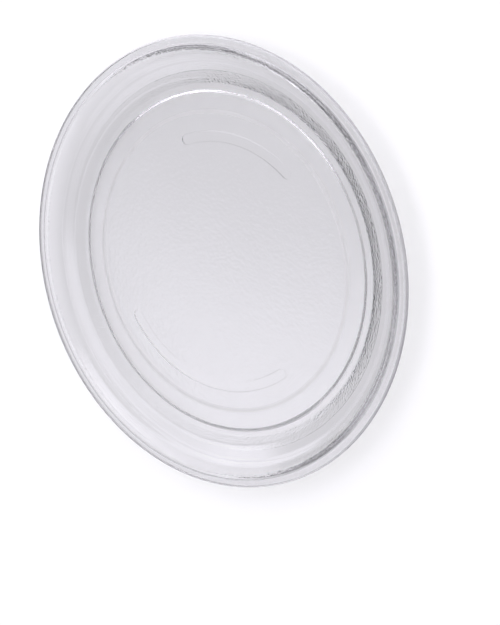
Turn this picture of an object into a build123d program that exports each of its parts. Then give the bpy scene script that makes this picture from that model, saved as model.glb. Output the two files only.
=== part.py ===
from build123d import *
import os

# A flat-bottomed glass turntable plate for a microwave oven, pressed in one piece.
# Millimetres, +Z up. The plate's axis is Z and z = 0 is the table under its foot ring.

# Overall sizes
plate_diameter = 245.0
plate_height = 12.85
floor_thickness = 4.0

# Rim: a flat ledge with a bulging edge, and a low crest inside it, where the lip starts
ledge_width = 4.7
ledge_thickness = 3.2
edge_bulge = 0.9
crest_run = 1.3
crest_rise = 0.5
crest_width = 1.4
crest_rounding = 1.6

# Lip, the steep wall of the dish, and the sloping flange between it and the floor
lip_run = 5.6
lip_foot_rounding = 10.0
flange_width = 9.6
flange_rise = 2.2
flange_thickness = 3.8
flange_foot_rounding = 8.0

# Underside of the lip and the flange, then the wall that comes down to the foot ring
lip_under_inset = 0.9
lip_under_run = 4.7
lip_under_rounding = 8.0
flange_under_width = 8.4
wall_run = 8.0
wall_rise = 3.3
foot_width = 3.1

# Roller track inside the foot ring, reached by a short steep step
step_run = 1.08
track_width = 9.52
track_height = 2.2

# Disc in the middle of the underside, sunk a little above the track
disc_recess = 0.3
disc_edge_run = 1.5

# Two bare arc-shaped panels in that disc: start angle and sweep, in degrees
panel_arcs = [(102.0, 93.0), (-60.0, 58.0)]
panel_width = 6.6
panel_depth = 0.25
panel_margin = 10.6

# Radii of the top that follow, from the edge inwards
plate_radius = plate_diameter / 2
edge_radius = plate_radius - edge_bulge
valley_radius = plate_radius - ledge_width
crest_outer_radius = valley_radius - crest_run
crest_inner_radius = crest_outer_radius - crest_width
lip_foot_radius = crest_inner_radius - lip_run
floor_radius = lip_foot_radius - flange_width

# Radii of the underside that follow, from the edge inwards
lip_under_top_radius = valley_radius - lip_under_inset
lip_under_foot_radius = lip_under_top_radius - lip_under_run
wall_top_radius = lip_under_foot_radius - flange_under_width
foot_outer_radius = wall_top_radius - wall_run
foot_inner_radius = foot_outer_radius - foot_width
track_outer_radius = foot_inner_radius - step_run
disc_radius = track_outer_radius - track_width
panel_radius = disc_radius - panel_margin - panel_width / 2

# Heights that follow, from the table up
disc_height = track_height + disc_recess
floor_height = track_height + floor_thickness
lip_foot_height = floor_height + flange_rise
lip_under_foot_height = lip_foot_height - flange_thickness
ledge_height = plate_height - crest_rise
ledge_under_height = ledge_height - ledge_thickness
edge_middle_height = ledge_height - ledge_thickness / 2

with BuildPart() as glass_plate:
    with BuildSketch(Plane.XZ):
        with BuildLine():
            # Underside from the axis out: disc, roller track, step, foot ring and wall
            Polyline(
                (0, disc_height),
                (disc_radius - disc_edge_run, disc_height),
                (disc_radius, track_height),
                (track_outer_radius, track_height),
                (foot_inner_radius, 0),
                (foot_outer_radius, 0),
                (wall_top_radius, wall_rise),
            )
            # Underside of the flange, the lip and the ledge
            FilletPolyline(
                (wall_top_radius, wall_rise),
                (lip_under_foot_radius, lip_under_foot_height),
                (lip_under_top_radius, ledge_under_height),
                (edge_radius, ledge_under_height),
                radius=[lip_under_rounding, 0],
            )
            # Edge of the rim
            ThreePointArc(
                (edge_radius, ledge_under_height),
                (plate_radius, edge_middle_height),
                (edge_radius, ledge_height),
            )
            # Top from the edge in: ledge, crest, lip, flange and floor
            FilletPolyline(
                (edge_radius, ledge_height),
                (valley_radius, ledge_height),
                (crest_outer_radius, plate_height),
                (crest_inner_radius, plate_height),
                (lip_foot_radius, lip_foot_height),
                (floor_radius, floor_height),
                (0, floor_height),
                radius=[0, crest_rounding, crest_rounding, lip_foot_rounding, flange_foot_rounding],
            )
            Line((0, floor_height), (0, disc_height))
        make_face()
    revolve(axis=Axis.Z)

    with BuildSketch(Plane.XY.offset(disc_height)):
        for start, sweep in panel_arcs:
            SlotArc(CenterArc((0, 0), panel_radius, start, sweep), panel_width)
    extrude(amount=panel_depth, mode=Mode.SUBTRACT)

glass_plate.part.label = "glass_plate"

os.makedirs("parts", exist_ok=True)
export_step(glass_plate.part, "parts/glass_plate.step")
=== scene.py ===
import math

import bpy
import mathutils
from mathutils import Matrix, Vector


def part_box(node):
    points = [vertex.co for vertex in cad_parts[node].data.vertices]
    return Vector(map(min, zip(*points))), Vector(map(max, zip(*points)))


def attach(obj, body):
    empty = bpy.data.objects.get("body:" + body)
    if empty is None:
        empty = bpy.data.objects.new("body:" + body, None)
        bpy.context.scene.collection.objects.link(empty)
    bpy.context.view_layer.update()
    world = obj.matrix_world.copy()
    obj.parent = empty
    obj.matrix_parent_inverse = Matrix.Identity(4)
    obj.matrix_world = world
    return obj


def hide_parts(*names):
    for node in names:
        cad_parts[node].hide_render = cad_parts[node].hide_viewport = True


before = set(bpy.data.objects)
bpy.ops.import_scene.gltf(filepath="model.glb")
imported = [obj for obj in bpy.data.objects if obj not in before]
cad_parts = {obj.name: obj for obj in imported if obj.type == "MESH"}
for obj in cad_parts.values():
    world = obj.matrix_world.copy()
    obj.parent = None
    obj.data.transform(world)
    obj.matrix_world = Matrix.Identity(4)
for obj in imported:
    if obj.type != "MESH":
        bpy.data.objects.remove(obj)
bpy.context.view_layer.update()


# Glass plate
# The whole object is one disc of clear glass, pressed hot in a mould, with a raised rim, a foot ring
# and a smooth track for the rollers. The top is smooth and the mould's stipple shows underneath.
mm = 0.001
low_corner, high_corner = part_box("glass_plate")
plate_radius = min(high_corner[0] - low_corner[0], high_corner[1] - low_corner[1]) / 2
plate_height = high_corner[2]

# Rim: a flat ledge with a bulging edge, and a low crest inside it, where the lip starts
ledge_width = 4.7 * mm
ledge_thickness = 3.2 * mm
edge_bulge = 0.9 * mm
crest_run = 1.3 * mm
crest_rise = 0.5 * mm
crest_width = 1.4 * mm

# Lip, the steep wall of the dish, the sloping flange inside it, and the floor
lip_run = 5.6 * mm
flange_width = 9.6 * mm
flange_rise = 2.2 * mm
flange_thickness = 3.8 * mm
floor_thickness = 4.0 * mm

# Underside: lip and flange, the wall down to the foot ring, the roller track and the sunk disc
lip_under_inset = 0.9 * mm
lip_under_run = 4.7 * mm
flange_under_width = 8.4 * mm
wall_run = 8.0 * mm
foot_width = 3.1 * mm
step_run = 1.08 * mm
track_width = 9.52 * mm
disc_edge_run = 1.5 * mm
disc_recess = 0.3 * mm

# Radii of the top, from the edge inwards
edge_radius = plate_radius - edge_bulge
valley_radius = plate_radius - ledge_width
crest_outer_radius = valley_radius - crest_run
crest_inner_radius = crest_outer_radius - crest_width
lip_foot_radius = crest_inner_radius - lip_run
floor_radius = lip_foot_radius - flange_width

# Radii of the underside, from the edge inwards
lip_under_top_radius = valley_radius - lip_under_inset
lip_under_foot_radius = lip_under_top_radius - lip_under_run
wall_top_radius = lip_under_foot_radius - flange_under_width
foot_outer_radius = wall_top_radius - wall_run
foot_inner_radius = foot_outer_radius - foot_width
track_outer_radius = foot_inner_radius - step_run
disc_radius = track_outer_radius - track_width
disc_edge_radius = disc_radius - disc_edge_run

# Heights above the table
track_height = 2.2 * mm
disc_height = track_height + disc_recess
floor_height = track_height + floor_thickness
wall_top_height = 3.3 * mm
lip_foot_height = floor_height + flange_rise
lip_under_foot_height = lip_foot_height - flange_thickness
ledge_height = plate_height - crest_rise
ledge_under_height = ledge_height - ledge_thickness

# Roundings of the section's corners
disc_rounding = 6.0 * mm
foot_rounding = 0.6 * mm
wall_top_rounding = 1.5 * mm
lip_under_rounding = 8.0 * mm
ledge_rounding = 0.3 * mm
valley_rounding = 0.25 * mm
crest_rounding = 1.6 * mm
lip_foot_rounding = 10.0 * mm
flange_foot_rounding = 8.0 * mm

# The outer edge is an arc that bulges from the ledge's underside to its top
edge_half = (ledge_height - ledge_under_height) / 2
edge_middle_height = ledge_under_height + edge_half
edge_arc_radius = (edge_half ** 2 + edge_bulge ** 2) / (2 * edge_bulge)
edge_arc_reach = math.asin(edge_half / edge_arc_radius)
edge_steps = 8
edge_points = []
for step in range(1, edge_steps):
    angle = edge_arc_reach * (2 * step / edge_steps - 1)
    radius = plate_radius - edge_arc_radius * (1 - math.cos(angle))
    edge_points.append((radius, edge_middle_height + edge_arc_radius * math.sin(angle), 0, 0))

# Corners of the half section, along the underside and back over the top.
# Each has a radius, a height, a rounding and the rounding's steps.
section = [
    (0, disc_height, 0, 0),
    (disc_edge_radius, disc_height, disc_rounding, 4),
    (disc_radius, track_height, disc_rounding, 4),
    (track_outer_radius, track_height, foot_rounding, 4),
    (foot_inner_radius, 0, foot_rounding, 4),
    (foot_outer_radius, 0, foot_rounding, 3),
    (wall_top_radius, wall_top_height, wall_top_rounding, 2),
    (lip_under_foot_radius, lip_under_foot_height, lip_under_rounding, 6),
    (lip_under_top_radius, ledge_under_height, ledge_rounding, 3),
    (edge_radius, ledge_under_height, ledge_rounding, 2),
    *edge_points,
    (edge_radius, ledge_height, ledge_rounding, 2),
    (valley_radius, ledge_height, valley_rounding, 2),
    (crest_outer_radius, plate_height, crest_rounding, 3),
    (crest_inner_radius, plate_height, crest_rounding, 6),
    (lip_foot_radius, lip_foot_height, lip_foot_rounding, 7),
    (floor_radius, floor_height, flange_foot_rounding, 4),
    (0, floor_height, 0, 0),
]

# Points this near to each other are merged
merge_reach = 0.001 * mm


def start_point(name, place):
    """A new object in edit mode that holds one selected point."""
    bpy.ops.object.select_all(action="DESELECT")
    bpy.ops.mesh.primitive_plane_add(size=mm, location=place)
    made = bpy.context.object
    made.name = name
    bpy.ops.object.transform_apply(location=True, rotation=True, scale=True)
    bpy.ops.object.mode_set(mode="EDIT")
    bpy.ops.mesh.select_all(action="SELECT")
    bpy.ops.mesh.merge(type="CENTER")
    return made


def select_points(obj, keep):
    """Edit mode with only the points selected whose radius and height pass keep."""
    bpy.ops.object.mode_set(mode="EDIT")
    bpy.ops.mesh.select_mode(type="VERT")
    bpy.ops.mesh.select_all(action="DESELECT")
    bpy.ops.object.mode_set(mode="OBJECT")
    for point in obj.data.vertices:
        point.select = keep(math.hypot(point.co.x, point.co.y), point.co.z)
    bpy.ops.object.mode_set(mode="EDIT")


def close_mesh():
    """Merge the points that meet, turn all faces outwards and leave edit mode."""
    bpy.ops.mesh.select_all(action="SELECT")
    bpy.ops.mesh.remove_doubles(threshold=merge_reach)
    bpy.ops.mesh.normals_make_consistent(inside=False)
    bpy.ops.object.mode_set(mode="OBJECT")


def apply_modifier(obj, kind, **settings):
    """Add one modifier to the object, set it and apply it."""
    modifier = obj.modifiers.new(kind.title(), kind)
    for name, value in settings.items():
        setattr(modifier, name, value)
    bpy.ops.object.select_all(action="DESELECT")
    obj.select_set(True)
    bpy.context.view_layer.objects.active = obj
    bpy.ops.object.modifier_apply(modifier=modifier.name)


# The half section is drawn as a line of points, corner by corner
plate = start_point("pressed_glass_plate", (0, 0, disc_height))
for last, corner in zip(section, section[1:]):
    run = (corner[0] - last[0], 0, corner[1] - last[1])
    bpy.ops.mesh.extrude_vertices_move(TRANSFORM_OT_translate={"value": run})

# Each rounding starts where its arc touches the straight runs before and after the corner
corner_reach = 0.01 * mm
for before, corner, after in zip(section, section[1:], section[2:]):
    corner_radius, corner_height, rounding, steps = corner
    if rounding == 0:
        continue
    arriving = mathutils.Vector((corner_radius - before[0], corner_height - before[1]))
    leaving = mathutils.Vector((after[0] - corner_radius, after[1] - corner_height))
    touch = rounding * math.tan(arriving.angle(leaving) / 2)
    select_points(plate, lambda r, z: math.hypot(r - corner_radius, z - corner_height) < corner_reach)
    bpy.ops.mesh.bevel(offset=touch, offset_type="OFFSET", segments=steps, affect="VERTICES")

# The runs that carry coarse stipple get more points
wall_cuts = 13
ledge_cuts = 6
ledge_under_limit = ledge_under_height + merge_reach
select_points(plate, lambda r, z: foot_outer_radius < r < wall_top_radius and z < wall_top_height)
bpy.ops.mesh.subdivide(number_cuts=wall_cuts)
select_points(plate, lambda r, z: lip_under_top_radius < r < edge_radius and z < ledge_under_limit)
bpy.ops.mesh.subdivide(number_cuts=ledge_cuts)

# The section is turned once around the axis, and the seam and both poles are closed
turn_steps = 800
bpy.ops.object.mode_set(mode="OBJECT")
apply_modifier(plate, "SCREW", axis="Z", angle=2 * math.pi, steps=turn_steps, render_steps=turn_steps)
bpy.ops.object.mode_set(mode="EDIT")
close_mesh()

# Two bare arc panels with sloped walls are sunk into the underside of the disc.
# Each arc has a start and a sweep, in degrees around the axis.
panel_arcs = [(102.0, 93.0), (-60.0, 58.0)]
panel_width = 6.6 * mm
panel_depth = 0.25 * mm
panel_slope = 0.9 * mm
panel_margin = 10.6 * mm
panel_radius = disc_radius - panel_margin - panel_width / 2
panel_end_steps = 12

# A cutter's outline is one point, turned along the outer side, one end, the inner side and the other end.
# Its slope starts a little under the disc.
cutter_foot = disc_height - 2 * mm
slope_start = 0.05 * mm
down = (0, 0, -1)
upward = (0, 0, 1)
axis_point = (0, 0, 0)
for start, sweep in panel_arcs:
    cutter = start_point("panel_cutter", (panel_radius + panel_width / 2, 0, cutter_foot))
    angle = math.radians(sweep)
    steps = round(sweep)
    far_end = (panel_radius * math.cos(angle), panel_radius * math.sin(angle), cutter_foot)
    near_end = (panel_radius, 0, cutter_foot)
    bpy.ops.mesh.spin(steps=steps, angle=angle, center=axis_point, axis=down)
    bpy.ops.mesh.spin(steps=panel_end_steps, angle=math.pi, center=far_end, axis=down)
    bpy.ops.mesh.spin(steps=steps, angle=angle, center=axis_point, axis=upward)
    bpy.ops.mesh.spin(steps=panel_end_steps, angle=math.pi, center=near_end, axis=down)
    bpy.ops.mesh.select_all(action="SELECT")
    bpy.ops.mesh.remove_doubles(threshold=merge_reach)
    bpy.ops.mesh.edge_face_add()
    lift = (0, 0, disc_height - slope_start - cutter_foot)
    bpy.ops.mesh.extrude_region_move(TRANSFORM_OT_translate={"value": lift})
    bpy.ops.mesh.inset(thickness=panel_slope, depth=panel_depth + slope_start)
    close_mesh()
    cutter.rotation_euler.z = math.radians(start)
    bpy.ops.object.transform_apply(location=True, rotation=True, scale=True)
    apply_modifier(plate, "BOOLEAN", object=cutter, operation="DIFFERENCE", solver="EXACT")
    bpy.data.objects.remove(cutter)

# Where a cut ran along an edge of the disc it left pairs of points, which are merged
bpy.ops.object.mode_set(mode="EDIT")
close_mesh()

# Stippled areas: disc, wall, underside of the flange, of the lip and of the ledge, and low part of the edge.
# Each has an inner and an outer radius, the height it lies under, the strength of its fine grain
# and the share of the coarse pebbles' depth.
slack = 0.02 * mm
rounding_end = 0.2 * mm
plain_ledge_width = 1.5 * mm
stippled_edge_rise = 1.0 * mm
stippled_areas = [
    (0, disc_edge_radius, disc_height + slack, 0.04, 0.0),
    (foot_outer_radius + rounding_end, wall_top_radius, wall_top_height, 1.0, 0.1),
    (wall_top_radius, lip_under_foot_radius, lip_under_foot_height, 0.05, 0.0),
    (lip_under_foot_radius, lip_under_top_radius + rounding_end, ledge_under_height + slack, 0.5, 0.0),
    (lip_under_top_radius + plain_ledge_width, edge_radius, ledge_under_height + slack, 0.4, 0.1),
    (edge_radius, plate_radius + slack, ledge_under_height + stippled_edge_rise, 0.7, 0.8),
]
coarse = plate.vertex_groups.new(name="pebbles")
grains = []
for point in plate.data.vertices:
    radius = math.hypot(point.co.x, point.co.y)
    grain_here = 0.0
    for inner, outer, ceiling, grain, pebbles in stippled_areas:
        if inner <= radius <= outer and point.co.z <= ceiling:
            grain_here = grain
            coarse.add([point.index], pebbles, "REPLACE")
    grains.append(grain_here)
stipple = plate.data.attributes.new("stipple", "FLOAT", "POINT")
stipple.data.foreach_set("value", grains)

# The coarse pebbles are pressed into the wall, the ledge's underside and the low part of the edge
pebble_spacing = 1.7 * mm
pebble_depth = 0.3 * mm
pebble_pattern = bpy.data.textures.new("pebbles", "VORONOI")
pebble_pattern.noise_scale = pebble_spacing
apply_modifier(
    plate,
    "DISPLACE",
    texture=pebble_pattern,
    texture_coords="LOCAL",
    vertex_group="pebbles",
    strength=pebble_depth,
    mid_level=1.0,
)

# The faces are smooth, but for those of the flat disc and its panels
flat_radius = disc_edge_radius - 0.6 * mm
flat_ceiling = disc_height + panel_depth + slack
bpy.ops.object.shade_smooth()
for face in plate.data.polygons:
    if math.hypot(face.center.x, face.center.y) < flat_radius and face.center.z < flat_ceiling:
        face.use_smooth = False
apply_modifier(plate, "WEIGHTED_NORMAL", mode="FACE_AREA", weight=50, keep_sharp=True)


class Signal:
    """A socket of a node tree: operators add Math nodes, and node() adds any other node."""

    def __init__(self, tree, socket=None):
        self.tree = tree
        self.socket = socket

    def node(self, kind, settings=None, sockets=None, output=0):
        made = self.tree.nodes.new(kind)
        for name, value in (settings or {}).items():
            setattr(made, name, value)
        for name, value in (sockets or {}).items():
            if isinstance(value, Signal):
                self.tree.links.new(value.socket, made.inputs[name])
            else:
                made.inputs[name].default_value = value
        return Signal(self.tree, made.outputs[output] if made.outputs else None)

    def maths(self, operation, first, second):
        return self.node("ShaderNodeMath", {"operation": operation}, {0: first, 1: second})

    def __add__(self, other):
        return self.maths("ADD", self, other)

    def __sub__(self, other):
        return self.maths("SUBTRACT", self, other)

    def __rsub__(self, other):
        return self.maths("SUBTRACT", other, self)

    def __mul__(self, other):
        return self.maths("MULTIPLY", self, other)

    __radd__ = __add__
    __rmul__ = __mul__


def new_material(name):
    """An empty material and a signal that starts its nodes."""
    material = bpy.data.materials.new(name)
    material.use_nodes = True
    material.node_tree.nodes.clear()
    return material, Signal(material.node_tree)


def soft_step(nodes, value, dark_end, bright_end):
    """0 up to dark_end, 1 from bright_end, smooth between them."""
    sockets = {"Value": value, "From Min": dark_end, "From Max": bright_end}
    return nodes.node("ShaderNodeMapRange", {"interpolation_type": "SMOOTHSTEP"}, sockets)


def band(nodes, value, rise, fall):
    """A mask that rises over the first pair of values and falls over the second."""
    return soft_step(nodes, value, rise[0], rise[1]) * soft_step(nodes, value, fall[1], fall[0])


def noise(nodes, place, lump_size, detail):
    """A smooth noise with lumps of about the given size."""
    sockets = {"Vector": place, "Scale": 1 / lump_size, "Detail": detail}
    return nodes.node("ShaderNodeTexNoise", sockets=sockets)


def along(nodes, vector, direction):
    """How far a vector reaches along a fixed direction."""
    sockets = {0: vector, 1: direction}
    return nodes.node("ShaderNodeVectorMath", {"operation": "DOT_PRODUCT"}, sockets, "Value")


def matt(nodes, shade):
    """A matt grey layer."""
    return nodes.node("ShaderNodeBsdfDiffuse", sockets={"Color": (shade, shade, shade, 1.0)})


def cover(nodes, under, over, share):
    """One layer over another, which hides the given share of it."""
    return nodes.node("ShaderNodeMixShader", sockets={"Fac": share, 1: under, 2: over})


# Clear soda-lime glass. Where a spot lies is told by its distance from the axis, its height
# and how far it lies towards the side that is far from the camera.
glass, nodes = new_material("pressed_clear_glass")
place = nodes.node("ShaderNodeTexCoord", output="Object")
sideways = nodes.node("ShaderNodeVectorMath", {"operation": "MULTIPLY"}, {0: place, 1: (1.0, 1.0, 0.0)})
from_axis = nodes.node("ShaderNodeVectorMath", {"operation": "LENGTH"}, {0: sideways}, "Value")
level = nodes.node("ShaderNodeSeparateXYZ", sockets={"Vector": place}, output="Z")
far = along(nodes, place, (-0.34, 0.94, 0.0))
stipple_mask = nodes.node("ShaderNodeAttribute", {"attribute_name": "stipple"}, output="Fac")
below = soft_step(nodes, level, disc_height + 0.2 * mm, disc_height + 0.1 * mm)
on_ledge = soft_step(nodes, level, ledge_height - 0.3 * mm, ledge_height - 0.1 * mm)
shaded_rim = soft_step(nodes, from_axis, valley_radius - 0.5 * mm, valley_radius + 0.5 * mm)
edge = soft_step(nodes, from_axis, edge_radius - 0.2 * mm, edge_radius + 0.2 * mm)
middle = soft_step(nodes, from_axis, disc_edge_radius - 1.0 * mm, disc_edge_radius - 4.0 * mm)
disc_edge_rise = (disc_edge_radius - 0.5 * mm, disc_edge_radius + 0.2 * mm)
disc_edge_fall = (disc_radius + 0.2 * mm, disc_radius + 0.8 * mm)
disc_edge = below * band(nodes, from_axis, disc_edge_rise, disc_edge_fall)
step_rise = (track_outer_radius - 0.4 * mm, track_outer_radius + 0.2 * mm)
step_fall = (foot_inner_radius + 0.4 * mm, foot_inner_radius + 1.2 * mm)
track_step = below * band(nodes, from_axis, step_rise, step_fall)
valley_rise = (valley_radius - 0.6 * mm, valley_radius - 0.1 * mm)
valley_fall = (valley_radius + 0.1 * mm, valley_radius + 0.6 * mm)
valley = on_ledge * band(nodes, from_axis, valley_rise, valley_fall)

# The bump is the stipple's fine grain, a faint ripple all over and shallow dents in the disc
pebble = noise(nodes, place, 0.9 * mm, 0.0)
ripple = noise(nodes, place, 30.0 * mm, 1.0)
dents = below * middle * noise(nodes, place, 1.8 * mm, 0.0)
relief = stipple_mask * pebble + 0.014 * ripple + 0.14 * dents
surface = nodes.node("ShaderNodeBump", sockets={"Height": relief, "Distance": 0.19 * mm, "Strength": 1.0})

# The glass is polished, with a trace of haze, and dull where the mould's corners wore
haze = noise(nodes, place, 12.0 * mm, 1.0)
roughness = 0.004 + 0.006 * haze + 0.02 * stipple_mask + 0.35 * disc_edge + 0.2 * track_step
clear = nodes.node(
    "ShaderNodeBsdfPrincipled",
    sockets={
        # Painted shade: the glass over the rim is tinted a little darker
        "Base Color": 1 - 0.1 * shaded_rim,
        "Transmission Weight": 1.0,
        "IOR": 1.5,
        "Roughness": roughness,
        "Normal": surface,
    },
)
depth = nodes.node("ShaderNodeVolumeAbsorption", sockets={"Color": (0.5, 0.5, 0.5, 1.0), "Density": 11.0})

# Painted shade: a grey layer darkens the track's step at the far side and the rim's valley all round,
# and a darker grey layer darkens the valley at the far side. The outer edge is frosted.
painted_line_shade = track_step * soft_step(nodes, far, -10.0 * mm, 8.0 * mm) + valley
far_valley_shade = valley * soft_step(nodes, far, 0.0, 40.0 * mm)
skin = cover(nodes, clear, matt(nodes, 0.62), 0.55 * painted_line_shade)
skin = cover(nodes, skin, matt(nodes, 0.3), 0.45 * far_valley_shade)
skin = cover(nodes, skin, matt(nodes, 0.8), 0.45 * edge)
nodes.node("ShaderNodeOutputMaterial", sockets={"Surface": skin, "Volume": depth})
plate.data.materials.append(glass)
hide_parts("glass_plate")
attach(plate, "root")


# Table
# A plain white sheet under the plate. To the camera, in reflections and through the glass it is part
# light, so that it shows white there too. What it gives back to the plate is its own lit colour.
table_width = 8.0
table_gap = 0.05 * mm
bpy.ops.object.select_all(action="DESELECT")
bpy.ops.mesh.primitive_plane_add(size=table_width, location=(0, 0, -table_gap))
table = bpy.context.object
table.name = "table"
white, nodes = new_material("white_sheet")
rays = nodes.node("ShaderNodeLightPath").socket.node.outputs
seen = Signal(nodes.tree, rays["Is Camera Ray"])
through = Signal(nodes.tree, rays["Is Glossy Ray"]) + Signal(nodes.tree, rays["Is Transmission Ray"])
through = nodes.maths("MINIMUM", through, 1.0)
glow = nodes.node("ShaderNodeEmission", sockets={"Color": (1.0, 1.0, 1.0, 1.0), "Strength": 1.0})
dim_glow = nodes.node("ShaderNodeEmission", sockets={"Color": (1.0, 0.99, 1.03, 1.0), "Strength": 0.7})
sheet = cover(nodes, matt(nodes, 0.95), glow, 0.5 * seen)
sheet = cover(nodes, sheet, dim_glow, 0.6 * through)
nodes.node("ShaderNodeOutputMaterial", sockets={"Surface": sheet})
table.data.materials.append(white)


# Light
# A studio sky with a large light high behind the plate, a tall one at its right, a small one overhead and
# two faint ones at the left. The rest of the sky is dim, which draws the dark lines in the glass.
sky = bpy.data.worlds.new("studio_sky")
sky.use_nodes = True
sky.node_tree.nodes.clear()
bpy.context.scene.world = sky
nodes = Signal(sky.node_tree)
direction = nodes.node("ShaderNodeTexCoord", output="Generated")
direction = nodes.node("ShaderNodeVectorMath", {"operation": "NORMALIZE"}, {0: direction})
across = nodes.node("ShaderNodeSeparateXYZ", sockets={"Vector": direction}, output="X")
away = nodes.node("ShaderNodeSeparateXYZ", sockets={"Vector": direction}, output="Y")
height = nodes.node("ShaderNodeSeparateXYZ", sockets={"Vector": direction}, output="Z")


def patch(azimuth, elevation, inner_reach, outer_reach):
    """Light around one direction of the sky: full within inner_reach, none beyond outer_reach (degrees)."""
    flat = math.cos(math.radians(elevation))
    centre = (
        flat * math.cos(math.radians(azimuth)),
        flat * math.sin(math.radians(azimuth)),
        math.sin(math.radians(elevation)),
    )
    dark_end = math.cos(math.radians(outer_reach))
    bright_end = math.cos(math.radians(inner_reach))
    return soft_step(nodes, along(nodes, direction, centre), dark_end, bright_end)


# The floor mirrors the light behind, which has slanting sides. A dim notch leaves part of the floor darker.
behind = soft_step(nodes, across - 0.5 * (height - 0.78), -0.24, -0.14) * soft_step(nodes, across, 0.5, 0.36)
behind = behind * soft_step(nodes, away, 0.18, 0.32) * soft_step(nodes, height, 0.71, 0.765)
notch = soft_step(nodes, across + height - 0.777, -0.07, 0.07) * soft_step(nodes, across, 0.26, 0.16)
notch = notch * soft_step(nodes, height, 0.92, 0.84)
behind = 2.3 * behind * (1 - 0.85 * notch)

# The tall light at the right keeps clear of the horizon and of the zenith
tall = soft_step(nodes, across + 0.6 * (height - 0.3), 0.45, 0.6)
tall = 2.3 * tall * band(nodes, height, (0.2, 0.35), (0.76, 0.86))

overhead = 1.1 * patch(40.0, 67.0, 12.0, 28.0)
left = 0.4 * patch(126.0, 12.0, 14.0, 28.0) + 0.8 * patch(135.0, 38.0, 12.0, 28.0)
rest_of_sky = 0.27 + 0.08 * soft_step(nodes, height, 0.2, 0.7)
strength = rest_of_sky + tall + overhead + left + behind
sky_tint = (1.0, 0.98, 1.06)
tinted = nodes.node("ShaderNodeVectorMath", {"operation": "SCALE"}, {0: sky_tint, "Scale": strength})
shine = nodes.node("ShaderNodeBackground", sockets={"Color": tinted, "Strength": 1.0})
nodes.node("ShaderNodeOutputWorld", sockets={"Surface": shine})


# Camera
# It looks down at the plate, tilted off its axis, and is rolled so that the near edge is at the right.
camera_distance = 1.19
camera_tilt = math.radians(39.07)
camera_roll = math.radians(107.04)
view_width = 266.5 * mm
aim_right = 19.56 * mm
aim_up = -25.34 * mm
plate_middle = mathutils.Vector((0, 0, 10.8 * mm))

toward_camera = mathutils.Vector((0, -math.sin(camera_tilt), math.cos(camera_tilt)))
level_up = mathutils.Vector((0, math.cos(camera_tilt), math.sin(camera_tilt)))
view_up = level_up * math.cos(camera_roll) + mathutils.Vector((1, 0, 0)) * math.sin(camera_roll)
view_right = view_up.cross(toward_camera)
eye = plate_middle + toward_camera * camera_distance
aim = plate_middle + view_right * aim_right + view_up * aim_up
back = (eye - aim).normalized()
right = view_up.cross(back).normalized()
up = back.cross(right)

lens = bpy.data.cameras.new("camera")
lens.sensor_fit = "HORIZONTAL"
lens.sensor_width = 36.0
lens.lens = lens.sensor_width * camera_distance / view_width
camera = bpy.data.objects.new("camera", lens)
bpy.context.scene.collection.objects.link(camera)
turn = mathutils.Matrix((right, up, back)).transposed().to_4x4()
camera.matrix_world = mathutils.Matrix.Translation(eye) @ turn
bpy.context.scene.camera = camera


# Render
# Light goes a long way inside the glass, so its paths are let run.
bpy.context.scene.view_settings.view_transform = "Standard"
bpy.context.scene.cycles.max_bounces = 24
bpy.context.scene.cycles.glossy_bounces = 16
bpy.context.scene.cycles.transmission_bounces = 24
